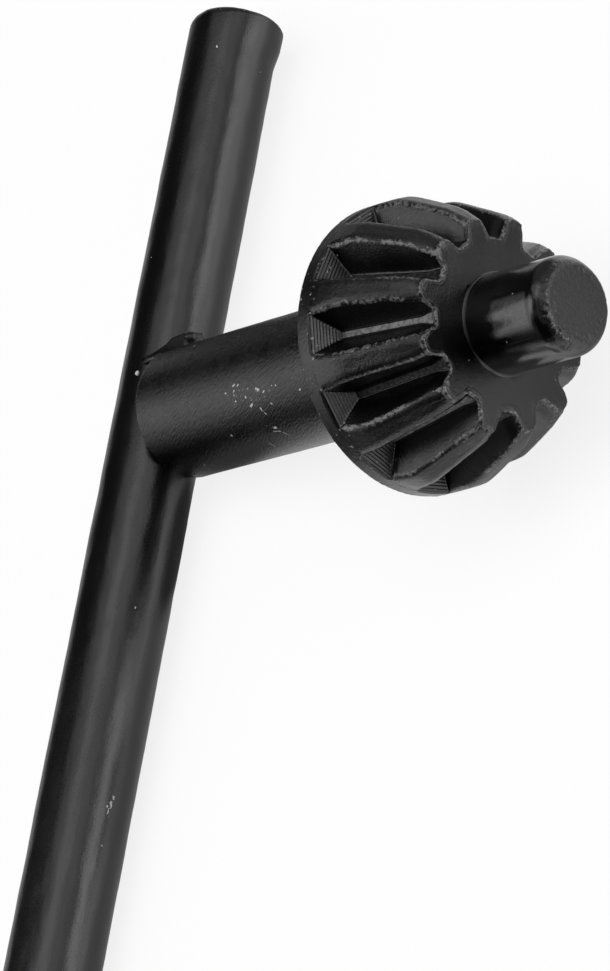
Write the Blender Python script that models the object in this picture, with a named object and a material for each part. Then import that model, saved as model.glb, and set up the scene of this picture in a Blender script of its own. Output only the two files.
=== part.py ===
"""Drill chuck key: a welded cross bar and a turned body with a bevel pinion and a pilot.

Blender 4.5 script, metres, +Z up. The key lies on its side as it comes to rest: the pinion's rim, the
shank's welded end and the end of the bar's long arm touch the ground. Sizes are laid out with the
body's axis along X, the bar's along Y and their crossing at zero, and the whole key is then leaned
and rolled into that pose. The origin is the middle of the key's footprint on the ground.
"""

import math

import bmesh
import bpy
from mathutils import Matrix, Vector

# Cross bar: plain round rod, its short arm towards +Y.
BAR_RADIUS = 0.0030
SHORT_ARM = 0.0286
LONG_ARM = 0.0414
BAR_END_ROUNDING = 0.0006

# Shank, butt-welded to the side of the bar. Lengths run along the body's axis.
SHANK_RADIUS = 0.0042
SHANK_EDGE_BREAK = 0.0001
WELD_SINK = 0.00014
SEAT_GAP = 0.0003
BAR_AXIS_TO_PINION = 0.0245
SHANK_FILLET = 0.0004

# Pinion blank: a short cylindrical rim, then a cone down to the front face.
RIM_RADIUS = 0.00895
RIM_EDGE_BREAK = 0.00012
RIM_WIDTH = 0.0029
PINION_LENGTH = 0.0081
CREST_RADIUS_AT_FACE = 0.0068
FACE_EDGE_ROUNDING = 0.00035

# Teeth: twelve straight spaces of one section, pressed in along an inclined root line.
TEETH = 12
FIRST_SPACE_ANGLE = math.radians(17.3)
ROOT_RADIUS_AT_FACE = 0.0052
ROOT_ANGLE = math.radians(15.5)
ROOT_HALF_WIDTH = 0.00031
ROOT_CORNER = 0.00012
FLANK_ANGLES = (math.radians(27.0), math.radians(30.0), math.radians(33.0))
FLANK_STEP = 0.0008
END_WALL_FROM_BACK = 0.0017
END_WALL_LEAN = math.radians(17.5)

# Pilot.
PILOT_RADIUS = 0.00302
PILOT_LENGTH = 0.0064
PILOT_BASE_FILLET = 0.00016
PILOT_CHAMFER_LENGTH = 0.00072
PILOT_END_RADIUS = 0.00242

# Facets round each turned shape, and how far a cutter reaches past what it cuts.
BAR_SEGMENTS = 64
FACETS_PER_TOOTH = 10
ARC_STEPS = 4
CUTTER_MARGIN = 0.0004


def clear_scene():
    for item in list(bpy.data.objects):
        bpy.data.objects.remove(item, do_unlink=True)


def black_oxide(name, colour, roughness):
    """Blackened steel."""
    material = bpy.data.materials.new(name)
    material.use_nodes = True
    shader = material.node_tree.nodes["Principled BSDF"]
    shader.inputs["Base Color"].default_value = (*colour, 1.0)
    shader.inputs["Roughness"].default_value = roughness
    shader.inputs["Metallic"].default_value = 0.85
    return material


def arc(centre, radius, start, end):
    """Points of a round corner, angles in degrees, first and last included."""
    points = []
    for step in range(ARC_STEPS + 1):
        angle = math.radians(start + (end - start) * step / ARC_STEPS)
        points.append((centre[0] + radius * math.cos(angle), centre[1] + radius * math.sin(angle)))
    return points


def new_object(name, mesh_builder, material=None):
    mesh = bpy.data.meshes.new(name)
    mesh_builder.to_mesh(mesh)
    mesh_builder.free()
    item = bpy.data.objects.new(name, mesh)
    bpy.context.scene.collection.objects.link(item)
    if material is not None:
        mesh.materials.append(material)
        mesh.shade_smooth()
        mesh.set_sharp_from_angle(angle=math.radians(25.0))
    return item


def turned(profile, segments, first_angle=0.0):
    """Closed solid of revolution about X from points (x, radius) that begin and end on the axis."""
    builder = bmesh.new()
    turn = Matrix.Rotation(first_angle, 3, "X")
    points = [builder.verts.new(turn @ Vector((x, radius, 0.0))) for x, radius in profile]
    edges = [builder.edges.new(pair) for pair in zip(points, points[1:])]
    bmesh.ops.spin(
        builder, geom=points + edges, cent=(0.0, 0.0, 0.0), axis=(1.0, 0.0, 0.0),
        angle=math.tau, steps=segments, use_merge=True,
    )
    bmesh.ops.remove_doubles(builder, verts=builder.verts, dist=1e-7)
    bmesh.ops.recalc_face_normals(builder, faces=builder.faces)
    return builder


def hide_cutter(cutter):
    cutter.hide_render = True
    cutter.display_type = "WIRE"


def cut(item, cutter):
    modifier = item.modifiers.new(cutter.name, "BOOLEAN")
    modifier.operation = "DIFFERENCE"
    modifier.solver = "EXACT"
    modifier.object = cutter
    hide_cutter(cutter)


def pinion_face():
    return BAR_AXIS_TO_PINION + PINION_LENGTH


def pilot_end():
    return pinion_face() + PILOT_LENGTH


def rim_front():
    return BAR_AXIS_TO_PINION + RIM_WIDTH


def crest_radius(x):
    """Radius of the blank over the teeth: the rim's cylinder, then the cone to the front face."""
    along = max(0.0, (x - rim_front()) / (pinion_face() - rim_front()))
    return RIM_RADIUS + (CREST_RADIUS_AT_FACE - RIM_RADIUS) * along


def crest_slope():
    return math.atan2(RIM_RADIUS - CREST_RADIUS_AT_FACE, PINION_LENGTH - RIM_WIDTH)


def root_radius(x):
    """Radius of the bottom of a tooth space."""
    return ROOT_RADIUS_AT_FACE + (pinion_face() - x) * math.tan(ROOT_ANGLE)


def body_profile():
    """Outline of the turned blank, from the welded end to the pilot's tip."""
    start = BAR_RADIUS - WELD_SINK
    back = BAR_AXIS_TO_PINION
    face = pinion_face()
    end = pilot_end()
    rounding_start = face - FACE_EDGE_ROUNDING
    fillet = (back - SHANK_FILLET, SHANK_RADIUS + SHANK_FILLET)
    foot = (face + PILOT_BASE_FILLET, PILOT_RADIUS + PILOT_BASE_FILLET)
    profile = [(start, 0.0), (start, SHANK_RADIUS - SHANK_EDGE_BREAK)]
    profile += [(start + SHANK_EDGE_BREAK, SHANK_RADIUS)]
    profile += arc(fillet, SHANK_FILLET, -90.0, 0.0)
    profile += [(back, RIM_RADIUS - RIM_EDGE_BREAK), (back + RIM_EDGE_BREAK, RIM_RADIUS)]
    profile += [(rim_front(), RIM_RADIUS)]
    rounding = (rounding_start, crest_radius(rounding_start) - FACE_EDGE_ROUNDING / math.cos(crest_slope()))
    profile += arc(rounding, FACE_EDGE_ROUNDING, 90.0 - math.degrees(crest_slope()), 0.0)
    profile += arc(foot, PILOT_BASE_FILLET, 180.0, 270.0)
    profile += [(end - PILOT_CHAMFER_LENGTH, PILOT_RADIUS), (end, PILOT_END_RADIUS), (end, 0.0)]
    return profile


def space_half_section(top):
    """Half outline of a tooth space as (height over the root, half width), up to a given height."""
    outline = [(0.0, 0.0), (0.0, ROOT_HALF_WIDTH - ROOT_CORNER)]
    height = ROOT_CORNER * 0.5
    outline.append((height, ROOT_HALF_WIDTH))
    width = ROOT_HALF_WIDTH
    for number, angle in enumerate(FLANK_ANGLES):
        last = number == len(FLANK_ANGLES) - 1
        next_height = top if last else (number + 1) * FLANK_STEP
        width += (next_height - height) * math.tan(angle)
        height = next_height
        outline.append((height, width))
    return outline


def space_section(x, lean):
    """Whole outline at one end of a space, whose upper points lean back towards the rim."""
    top = crest_radius(x) - root_radius(x) + CUTTER_MARGIN
    half = space_half_section(top)
    loop = [(height, width) for height, width in half[1:]]
    loop += [(height, -width) for height, width in reversed(half[1:])]
    points = []
    for height, width in loop:
        place = x - height * math.tan(lean)
        points.append(Vector((place, root_radius(place) + height, width)))
    return points


def tooth_space_cutter():
    """All tooth spaces as one object of separate closed prisms."""
    builder = bmesh.new()
    wall = BAR_AXIS_TO_PINION + END_WALL_FROM_BACK
    sections = [
        space_section(wall, END_WALL_LEAN),
        space_section(rim_front(), 0.0),
        space_section(pinion_face() + CUTTER_MARGIN, 0.0),
    ]
    for number in range(TEETH):
        turn = Matrix.Rotation(FIRST_SPACE_ANGLE + number * math.tau / TEETH, 3, "X")
        rings = [[builder.verts.new(turn @ point) for point in section] for section in sections]
        count = len(rings[0])
        for ring, next_ring in zip(rings, rings[1:]):
            for index in range(count):
                following = (index + 1) % count
                builder.faces.new((ring[index], ring[following], next_ring[following], next_ring[index]))
        builder.faces.new(rings[0])
        builder.faces.new(rings[-1])
    bmesh.ops.recalc_face_normals(builder, faces=builder.faces)
    return new_object("tooth_space_cutter", builder)


def bar_seat_cutter():
    """Cylinder about the bar, larger by the seat's gap, that hollows the shank's welded end."""
    reach = SHANK_RADIUS + CUTTER_MARGIN
    radius = BAR_RADIUS + SEAT_GAP
    builder = turned([(-reach, 0.0), (-reach, radius), (reach, radius), (reach, 0.0)], BAR_SEGMENTS)
    bmesh.ops.rotate(builder, verts=builder.verts, matrix=Matrix.Rotation(math.radians(90.0), 3, "Z"))
    return new_object("bar_seat_cutter", builder)


def make_key_body(material):
    """Shank, pinion and pilot: one turned piece with its teeth pressed in."""
    facets = TEETH * FACETS_PER_TOOTH
    builder = turned(body_profile(), facets, FIRST_SPACE_ANGLE)
    body = new_object("key_body", builder, material)
    cut(body, tooth_space_cutter())
    cut(body, bar_seat_cutter())
    return body


def make_cross_bar(material):
    """Rod with both ends rounded over, its middle line through the body's axis."""
    radius = BAR_RADIUS
    rounding = BAR_END_ROUNDING
    profile = [(-LONG_ARM, 0.0)]
    profile += arc((-LONG_ARM + rounding, radius - rounding), rounding, 180.0, 90.0)
    profile += arc((SHORT_ARM - rounding, radius - rounding), rounding, 90.0, 0.0)
    profile += [(SHORT_ARM, 0.0)]
    builder = turned(profile, BAR_SEGMENTS)
    bmesh.ops.rotate(builder, verts=builder.verts, matrix=Matrix.Rotation(math.radians(90.0), 3, "Z"))
    return new_object("cross_bar", builder, material)


def rest_lean():
    """Angle at which the rim's back edge and either the shank's end or the bar touch the ground."""
    rim_place = BAR_AXIS_TO_PINION + RIM_EDGE_BREAK
    shank_place = BAR_RADIUS - WELD_SINK + SHANK_EDGE_BREAK
    on_shank = math.atan2(RIM_RADIUS - SHANK_RADIUS, rim_place - shank_place)
    reach = math.hypot(rim_place, RIM_RADIUS)
    on_bar = math.acos(BAR_RADIUS / reach) - math.atan2(rim_place, RIM_RADIUS)
    return min(on_shank, on_bar)


def axis_height(lean):
    """Height of the body's axis where it crosses the bar."""
    rim_place = BAR_AXIS_TO_PINION + RIM_EDGE_BREAK
    return RIM_RADIUS * math.cos(lean) - rim_place * math.sin(lean)


def rest_roll(lean):
    """Angle about the body's axis that brings the end of the long arm down to the ground."""
    end_place = LONG_ARM - BAR_END_ROUNDING
    end_radius = BAR_RADIUS - BAR_END_ROUNDING
    drop = (axis_height(lean) - BAR_END_ROUNDING) / math.hypot(end_place, end_radius)
    tilt = math.atan2(end_place, end_radius) - math.acos(drop)
    return math.asin(math.sin(tilt) / math.cos(lean))


def lay_down(items):
    """Rests the key on the ground and sets the origin under the middle of its footprint."""
    lean = rest_lean()
    pose = Matrix.Translation((0.0, 0.0, axis_height(lean)))
    pose = pose @ Matrix.Rotation(-lean, 4, "Y") @ Matrix.Rotation(rest_roll(lean), 4, "X")
    corners = [pose @ vertex.co for item in items for vertex in item.data.vertices]
    middle_x = (min(point.x for point in corners) + max(point.x for point in corners)) / 2
    middle_y = (min(point.y for point in corners) + max(point.y for point in corners)) / 2
    frame = bpy.data.objects.new("key_frame", None)
    bpy.context.scene.collection.objects.link(frame)
    frame.matrix_world = Matrix.Translation((-middle_x, -middle_y, 0.0)) @ pose
    for item in bpy.context.scene.objects:
        if item is not frame:
            item.parent = frame
    bpy.context.view_layer.update()


def main():
    clear_scene()
    bar = make_cross_bar(black_oxide("blackened_bar", (0.030, 0.030, 0.031), 0.38))
    body = make_key_body(black_oxide("blackened_body", (0.028, 0.028, 0.029), 0.42))
    lay_down([bar, body])


main()
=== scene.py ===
"""Looks of the drill chuck key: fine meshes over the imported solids, blackened steel, floor, light, camera.

Shapes are laid out in the key's own frame in millimetres: the body's axis along X, the bar's along Y,
their crossing at zero. key_to_world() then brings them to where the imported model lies. Angles round the
body start at +Y and turn towards +Z; round the bar they start at +X and turn towards +Z.
"""

import math

import bmesh
import bpy
import numpy as np
from mathutils import Matrix, Vector, noise


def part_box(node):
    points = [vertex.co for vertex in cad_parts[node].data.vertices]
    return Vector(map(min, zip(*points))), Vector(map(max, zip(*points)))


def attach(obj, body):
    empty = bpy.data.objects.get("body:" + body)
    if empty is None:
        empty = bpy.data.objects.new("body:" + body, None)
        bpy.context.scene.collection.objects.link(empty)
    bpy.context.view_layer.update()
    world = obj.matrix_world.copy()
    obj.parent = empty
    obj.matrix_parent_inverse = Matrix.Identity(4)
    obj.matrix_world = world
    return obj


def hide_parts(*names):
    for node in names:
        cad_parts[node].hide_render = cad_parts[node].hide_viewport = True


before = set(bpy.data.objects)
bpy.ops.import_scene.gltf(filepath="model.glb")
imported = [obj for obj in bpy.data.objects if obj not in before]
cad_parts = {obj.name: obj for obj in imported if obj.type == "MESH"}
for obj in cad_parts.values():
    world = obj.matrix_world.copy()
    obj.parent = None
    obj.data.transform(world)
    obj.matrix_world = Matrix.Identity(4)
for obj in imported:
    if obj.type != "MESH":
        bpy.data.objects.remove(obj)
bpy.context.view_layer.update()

MM = 0.001

# Sizes in millimetres, as in the solids.
BAR_RADIUS = 3.0
SHORT_ARM = 28.6
LONG_ARM = 41.4
BAR_END_ROUNDING = 0.6
SHANK_RADIUS = 4.2
SHANK_START = 2.86
SHANK_EDGE_BREAK = 0.1
BACK = 24.5
SHANK_FILLET = 0.4
RIM_RADIUS = 8.95
RIM_EDGE_BREAK = 0.12
RIM_FRONT = 27.4
FACE = 32.6
CREST_RADIUS_AT_FACE = 6.8
PILOT_RADIUS = 3.02
PILOT_END = 39.0
PILOT_END_RADIUS = 2.42
PILOT_CHAMFER = 0.72
PILOT_FOOT = 0.16

# Tooth spaces. The half width is a sum of powers of the height over the root: constant, slope, curve.
TEETH = 12
FIRST_SPACE = math.radians(17.3)
PITCH = math.tau / TEETH
ROOT_RADIUS_AT_FACE = 5.2
ROOT_SLOPE = math.tan(math.radians(15.5))
SPACE_HALF_WIDTH = (0.28, 0.4744, 0.043)
HIGHEST_FLANK = 3.5
LEAST_FLANK = 0.035
CLOSED = math.inf
FLOOR_FILLET = 0.14
LAND_ROUNDING = 0.42

# End walls of the spaces, and the fore-and-aft relief of the three rings that make up each fine rib.
WALL_FOOT = 26.2
WALL_LEAN = math.tan(math.radians(17.5))
WALL_SPARE = 0.004
RIBS = 12
RIB_RELIEF = (0.024, -0.004, -0.028)

# Tooth tips: each has its own radius at the face. A ramp is where a change starts, and over what length.
LOBE_RADII = (6.66, 6.36, 6.20, 6.40, 6.48, 6.56, 6.76, 6.46, 6.54, 6.42, 6.52, 6.60)
CONE_SOFTNESS = 0.3
CONE_LAG = 0.02
TIP_WEAR_START = 30.7
TIP_SPARE = 0.12
TIP_ROLL = 0.22
TIP_ROLL_RAMP = (31.85, 0.9)
MOUTH_ROUNDING = 0.1
MOUTH_ROUNDING_RAMP = (30.9, 1.7)
MOUTH_FLARE = 0.16
MOUTH_FLARE_RAMP = (31.5, 0.9)
MOUTH_BURR_RAMP = (30.9, 1.4)
FACE_ROUNDING = 0.26

# Rings of the body: radii on flat faces, places along the axis, shares of a way. A blend is the share by
# which the columns have moved over from even spacing to the spacing of the teeth.
WELDED_END_RADII = (1.2, 2.4, 3.3, 3.9)
INNER_BACK_RADII = (5.3, 6.2, 7.1)
OUTER_BACK_RADII_AND_BLENDS = ((7.9, 0.0), (8.5, 0.1), (8.77, 0.2))
RIM_EDGE_BLEND = 0.3
RIM_PLACES_AND_BLENDS = ((24.78, 0.45), (25.0, 0.65), (25.2, 0.82), (25.38, 0.95), (25.5, 1.0))
TOOTH_START_PLACES = (26.26, 26.36, 26.5, 26.68, 26.88, 27.06, 27.2, 27.3, 27.38, 27.46, 27.56, 27.7)
TOOTH_PLACES = (*TOOTH_START_PLACES, *np.linspace(27.9, 32.0, 30), 32.15, FACE - FACE_ROUNDING)
FACE_ROUNDING_EDGES = (0.75, 1.0, 1.0, 1.0, 0.7, 0.4)
FACE_SHARES = (0.06, 0.14, 0.25, 0.38, 0.52, 0.66, 0.8, 0.91, 1.0)

# Pilot: the foot ring's outline as rise from the face and reach past the pilot's side, the roundings at
# both ends of the chamfer, and the side on which its rim is chipped most.
FOOT_RING = ((0.0, 0.15), (0.035, 0.13), (0.06, 0.09), (0.06, 0.055), (0.05, 0.02), (0.09, 0.0))
CHAMFER_LEAD = 0.4
CHAMFER_START_SHARE = 0.42
CHAMFER_END_SHARE = 0.6
PILOT_RIM_REACH = 0.3
CHIPPED_SIDE = math.radians(150)
PILOT_END_RADII = (2.04, 1.96, 1.88, 1.79, 1.68, 1.5, 1.2, 0.85, 0.5, 0.2)

# Sheared ends of the bar: a plain amount, and more on the side that the shear rolled over.
ROLLED_SIDE = math.radians(127.0)
ROLLED_POWER = 1.5
END_ROUNDING = (0.24, 0.62)
END_INSET = (0.14, 0.5)
END_SLANT = 0.14
END_LENGTH = 1.2
END_FACE_SHARES = (0.12, 0.28, 0.46, 0.64, 0.82, 0.95)
LIP = 0.24
LIP_RAMP = (SHORT_ARM - 2.8, 2.0)

# Weld: angles round the shank in degrees, the web's leg, and the beads' centres and radii.
WELD_SPAN = (-36.0, 43.0)
WELD_SECTIONS = 26
WELD_FADE_IN = (-38.0, 24.0)
WELD_FADE_OUT = (44.0, 30.0)
WELD_LEG = 0.9
WELD_THINNEST = 0.02
WELD_ZONES = (0.0, 0.0, 0.2, 0.0)
BEADS = (((2.85, 4.88, 0.86), (0.5, 0.42, 0.46)), ((0.74, 2.05, 2.93), (0.15, 0.17, 0.13)))
BEAD_COLUMNS = 28
BEAD_RINGS = 14

# Unevenness: depth and feature size in millimetres, seed, octaves, and the noise's scale along Y. Then
# the depths of single kinds of wear, and a hair's breadth as margin in comparisons.
BODY_WAVES = ((0.006, 2.2, 1, 3, 1.0), (0.005, 0.9, 2, 3, 1.0), (0.0015, 0.4, 9, 3, 1.0))
BAR_WAVES = (
    (0.012, 2.6, 11, 3, 0.22), (0.022, 1.7, 15, 2, 0.6), (0.009, 0.9, 12, 3, 1.0), (0.0015, 0.3, 13, 3, 1.0),
)
EDGE_SWELL = 0.012
BURR_DEPTH = 0.026
MOUTH_BURR_DEPTH = 0.05
WEAR_DEPTH = 0.009
RIM_CHIP_DEPTH = 0.10
BAR_END_DEPTH = 0.02
HAIR = 0.001

# Mesh density: points of a half tooth section, columns round each piece, rings along it.
SECTION_POINTS = 22
BODY_COLUMNS = 2 * (SECTION_POINTS - 1) * TEETH
BAR_COLUMNS = 192
BAR_STEP = 0.36
SHANK_STEPS = 64
WALL_STEPS = 3 * RIBS
PILOT_STEPS = 34

# Bare chips and scratches on the shank, and last a patch that makes the small weld bead beside the bar white
# all over:
# place along the axis, degrees round it, half length, half width, slant in degrees.
CHIPS = (
    (12.68, 111.5, 0.17, 0.05, -28), (13.05, 112.5, 0.14, 0.04, -28), (11.81, 116.2, 0.07, 0.06, 0),
    (12.59, 116.4, 0.12, 0.04, -28), (13.56, 124.0, 0.07, 0.07, 0), (12.55, 125.0, 0.07, 0.06, 0),
    (13.84, 131.9, 0.22, 0.07, -28), (14.82, 120.3, 0.16, 0.10, 30), (15.31, 123.3, 0.10, 0.05, -28),
    (16.18, 120.3, 0.06, 0.05, 0), (16.53, 121.2, 0.06, 0.05, 0), (18.51, 129.8, 0.10, 0.06, -28),
    (15.63, 134.8, 0.06, 0.05, 0), (14.54, 137.4, 0.14, 0.05, 68), (14.70, 141.7, 0.12, 0.035, 68),
    (14.68, 156.9, 0.16, 0.10, 0), (14.55, 161.2, 0.34, 0.03, 16), (14.97, 166.2, 0.28, 0.03, 67),
    (12.88, 176.0, 0.30, 0.03, 87), (10.67, 153.1, 0.08, 0.06, 0), (5.94, 178.5, 0.08, 0.07, 0),
    # This entry makes the small weld bead beside the bar white all over.
    (0.73, 55.0, 0.60, 0.60, 0),
)

# The same for scratches on the pilot, and for chips on the bar.
PILOT_MARKS = ((36.8, 130.2, 0.85, 0.028, 0), (36.3, 147.0, 1.27, 0.03, 0), (35.0, 134.0, 0.12, 0.05, 0))
BAR_CHIPS = (
    (-25.95, 1.5, 0.15, 0.07, 20), (-26.4, 3.5, 0.24, 0.08, 12), (-26.9, 5.5, 0.18, 0.05, 0),
    (-26.6, 8.0, 0.08, 0.05, 0), (-13.67, 20.6, 0.06, 0.04, 0), (-29.1, 5.0, 0.06, 0.04, 0),
)

# Stretches of the body along its axis: where each starts and is full, and where it starts to fall and ends.
# The last two have only one border.
RIM_STRETCH = (24.2, 24.4, 25.6, 26.4)
TOOTHED_STRETCH = (26.0, 26.4, 32.4, 32.56)
PILOT_STRETCH = (32.7, 32.8, 38.2, 38.4)
RUBBED_STRETCH = (34.7, 35.3, 37.68, 37.82)
SMOOTH_PINION = (24.6, 26.0)
SHANK_FADE = 0.6

# Marks on the body: angles round the axis, half widths and half lengths in millimetres.
RUBBED_SIDE = math.radians(115)
RUBBED_HALF_WIDTH = (0.9, 1.7)
DASHED_SIDE = math.radians(123)
DASHED_PLACE = 14.0
DASHED_SIZE = (3.4, 1.0, 1.0)
STROKE_SLANT = math.radians(-28)

# Steel: linear colours, gloss and bump.
OXIDE_DARK = (0.0003, 0.0003, 0.00033)
OXIDE_LIGHT = (0.0010, 0.0010, 0.00105)
OXIDE_WORN = (0.006, 0.006, 0.0062)
BARE_STEEL = (0.29, 0.29, 0.293)
RUBBED_STEEL = (0.15, 0.15, 0.151)
BURNISHED_DARK = (0.14, 0.14, 0.141)
BURNISHED_LIGHT = (0.26, 0.26, 0.262)
CHIP_COLOUR = (0.60, 0.60, 0.60)
OXIDE_IOR = 1.9
BAR_ROUGHNESS = 0.25
BODY_ROUGHNESS = 0.27
BUMP_STRENGTH = 0.35
BUMP_DISTANCE = 0.00003

# Light panels: middle azimuth, half width, lowest and highest elevation, soft border, all in degrees,
# and strength.
WORLD_DIM = 0.009
WORLD_PANELS = (
    (13.0, 13.0, -40.0, 16.0, 8.0, 1.15),
    (22.0, 18.0, -5.0, 40.0, 12.0, 0.32),
    (30.0, 28.0, 48.0, 90.0, 18.0, 0.51),
    (73.0, 63.0, 62.0, 90.0, 8.0, 0.49),
    (96.0, 22.0, 12.0, 45.0, 14.0, 0.155),
    (146.0, 14.0, -10.0, 50.0, 10.0, 0.016),
    (-163.0, 15.0, 12.0, 70.0, 12.0, 0.78),
    (-160.0, 30.0, 52.0, 76.0, 8.0, 0.42),
    (-145.0, 16.0, 40.0, 58.0, 8.0, 0.22),
    (-105.0, 26.0, 57.0, 64.0, 4.0, 0.15),
    (-42.0, 22.0, 42.0, 74.0, 12.0, 0.155),
    (-128.0, 12.0, 4.0, 28.0, 10.0, 0.08),
)
LAMP_PLACE = (0.1, -0.1, 0.8)
LAMP_SIZE = 0.8
LAMP_POWER = 4.9

# Floor: its colour, and what it glows by itself where the camera sees it.
FLOOR_HALF_SIZE = 3.0
FLOOR_COLOUR = 0.165
FLOOR_LIFT = 0.845

# The floor's glow in the steel, painted light and shade of a lit floor: two rises along world X with a step
# down between them, a painted shadow beside the bar, and a share along world Y, dimmer towards -Y. Each runs
# from one place in metres to another, and from one strength to another.
MIRROR_LEFT = (-0.110, -0.032, 0.167, 0.487)
MIRROR_STEP = (-0.0240, -0.0165, 0.0, 0.122)
MIRROR_RIGHT = (-0.014, 0.001, 0.0, 0.635)
MIRROR_NEAR = (-0.070, -0.050, 0.05, 1.0)

# Painted shadows of the key in that glow, soft darker patches under and around the pinion and pilot and in
# the corner of
# bar and shank: centre in metres, turn, half sizes, then the shares of the half size between which the patch
# ends, with the shares of the glow that it leaves inside and outside.
PAINTED_FLOOR_SHADOWS = (
    ((0.044, 0.026, 0.0), math.radians(36.9), (0.030, 0.016, 1.0), (0.1, 1.6, 0.22, 1.0)),
    ((0.008, -0.0145, 0.0), 0.0, (0.011, 0.0055, 1.0), (0.8, 1.2, 0.1, 1.0)),
    ((-0.0135, -0.001, 0.0), 0.0, (0.0035, 0.005, 1.0), (0.7, 1.2, 0.3, 1.0)),
    ((0.017, 0.005, 0.0), math.radians(36.9), (0.015, 0.009, 1.0), (0.5, 1.15, 0.5, 1.0)),
    ((0.034, -0.017, 0.0), 0.0, (0.012, 0.010, 1.0), (0.75, 1.15, 0.15, 1.0)),
)

# Camera: focal length and width of the photograph in pixels, sensor in millimetres, and its place and
# two of its axes in the key's frame.
FOCAL_PIXELS = 4257.6
PHOTO_WIDTH_PIXELS = 610.0
SENSOR_WIDTH = 36.0
CAMERA_CLIP_START = 0.01
CAMERA_PLACE = Vector((210.728, -96.503, 147.032))
CAMERA_RIGHT = Vector((0.64257, 0.16658, -0.74790))
CAMERA_DOWN = Vector((-0.16246, -0.92427, -0.34544))

# Noise: how far each seed moves it, how fast its octaves fall off, and the ratio of their sizes.
SEED_STEP = (17.3, 7.9, 3.1)
NOISE_FALL = 0.6
NOISE_RATIO = 2.1


def key_to_world():
    """Matrix from the key's frame in millimetres to the world in metres, from how the key rests."""
    rim_place = BACK + RIM_EDGE_BREAK
    lean = math.atan2(RIM_RADIUS - SHANK_RADIUS, rim_place - SHANK_START - SHANK_EDGE_BREAK)
    height = RIM_RADIUS * math.cos(lean) - rim_place * math.sin(lean)
    end_place = LONG_ARM - BAR_END_ROUNDING
    end_radius = BAR_RADIUS - BAR_END_ROUNDING
    drop = (height - BAR_END_ROUNDING) / math.hypot(end_place, end_radius)
    tilt = math.atan2(end_place, end_radius) - math.acos(drop)
    roll = math.asin(math.sin(tilt) / math.cos(lean))
    turn = Matrix.Rotation(-lean, 4, "Y") @ Matrix.Rotation(roll, 4, "X")
    pilot_tip = (turn @ Vector((PILOT_END, 0.0, 0.0))).x + PILOT_END_RADIUS * math.sin(lean)
    low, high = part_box("key_body")
    middle_y = (low.y + high.y) / 2
    place = Matrix.Translation((high.x - pilot_tip * MM, middle_y, height * MM))
    return place @ Matrix.Scale(MM, 4) @ turn


KEY = key_to_world()


# Curves and noise


def smooth(value):
    """Rises in an S from 0 at 0 to 1 at 1, and stays level outside."""
    value = np.clip(value, 0.0, 1.0)
    return value * value * (3.0 - 2.0 * value)


def ramp(value, start, length):
    return smooth((value - start) / length)


def bezier(a, b, c, t):
    return (1 - t) ** 2 * a + 2 * t * (1 - t) * b + t * t * c


def rough(points, size, seed, octaves=3):
    """Smooth noise from -1 to 1 at each point, its largest features about size millimetres."""
    shift = Vector([seed * step for step in SEED_STEP])
    flat = points.reshape(-1, 3)
    values = [noise.fractal(Vector(p) / size + shift, NOISE_FALL, NOISE_RATIO, octaves) for p in flat]
    return np.array(values).reshape(points.shape[:-1])


def waves(points, listed):
    """The sum of several noises, each given by its depth, size, seed, octaves and scale along Y."""
    total = 0.0
    for depth, size, seed, octaves, y_scale in listed:
        total = total + depth * rough(points * np.array([1.0, y_scale, 1.0]), size, seed, octaves)
    return total


# Rings of points with zone values: edge, floor, turned, worn


def around_x(x, radius, angle):
    return np.stack([x, radius * np.cos(angle), radius * np.sin(angle)], axis=-1)


def around_y(y, radius, angle):
    return np.stack([radius * np.cos(angle), y, radius * np.sin(angle)], axis=-1)


def zone(edge=0.0, floor=0.0, turned=0.0, worn=0.0):
    count = max(np.size(edge), np.size(floor), np.size(turned), np.size(worn))
    return np.stack([np.broadcast_to(v, (count,)) for v in (edge, floor, turned, worn)], axis=-1)


def plain_ring(x, radius, angles, zones):
    """A round ring across the body's axis, with its zone values."""
    count = len(angles)
    return around_x(np.full(count, x), np.full(count, radius), angles), zones


def stacked(rings):
    """Points and zone values of rings that have the same number of columns, as two arrays."""
    points = np.array([ring for ring, _ in rings])
    zones = np.array([np.broadcast_to(values, (points.shape[1], 4)) for _, values in rings])
    return points, zones


def grid_normals(points):
    """Normals of a grid of rings (ring, column, xyz): outward along the body, inward along the bar."""
    along = np.gradient(points, axis=0)
    round_ = np.roll(points, -1, axis=1) - np.roll(points, 1, axis=1)
    normal = np.cross(round_, along)
    return normal / np.maximum(np.linalg.norm(normal, axis=2, keepdims=True), 1e-12)


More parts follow.
